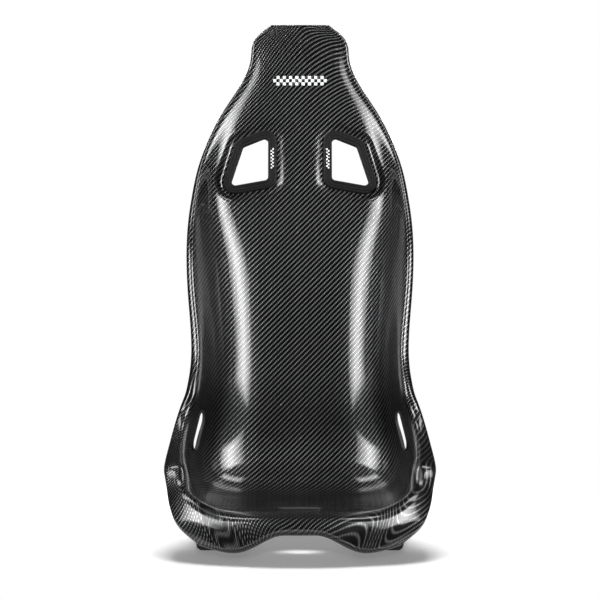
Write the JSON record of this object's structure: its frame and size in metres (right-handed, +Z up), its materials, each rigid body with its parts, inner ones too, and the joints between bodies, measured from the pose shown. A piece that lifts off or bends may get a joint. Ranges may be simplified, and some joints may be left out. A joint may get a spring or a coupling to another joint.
{
  "type": "racing seat",
  "caption": "Fixed-back carbon-fibre racing bucket seat shell with shoulder-belt openings, lap and crotch belt slots and side-mount base runners.",
  "frame": {"origin": "on the ground under the middle of the seat's bounding box", "axes": "+Z up, the sitter faces -Y, the sitter's left is +X"},
  "size_m": [0.472, 0.5513, 0.9328],
  "materials": {
    "carbon": "gloss clear-coated 2x2 twill",
    "frame_plastic": "satin",
    "trim_rubber": "matt",
    "base_composite": "satin",
    "aluminium": "satin anodised",
    "zinc_steel": "zinc plated",
    "black_steel": "black"
  },
  "bodies": {
    "root": {"approval_plate": "aluminium", "crotch_slot_trim": "trim_rubber", "left_base_runner": "base_composite", "left_belt_clamp_ring": "frame_plastic", "left_belt_frame": "frame_plastic", "left_belt_screw_1": "black_steel", "left_belt_screw_2": "black_steel", "left_belt_screw_3": "black_steel", "left_belt_screw_4": "black_steel", "left_front_mount_bush": "zinc_steel", "left_lap_slot_trim": "trim_rubber", "left_mount_strip": "aluminium", "left_rear_mount_bush": "zinc_steel", "right_base_runner": "base_composite", "right_belt_clamp_ring": "frame_plastic", "right_belt_frame": "frame_plastic", "right_belt_screw_1": "black_steel", "right_belt_screw_2": "black_steel", "right_belt_screw_3": "black_steel", "right_belt_screw_4": "black_steel", "right_front_mount_bush": "zinc_steel", "right_lap_slot_trim": "trim_rubber", "right_mount_strip": "aluminium", "right_rear_mount_bush": "zinc_steel", "seat_shell": "carbon"}
  },
  "joints": []
}
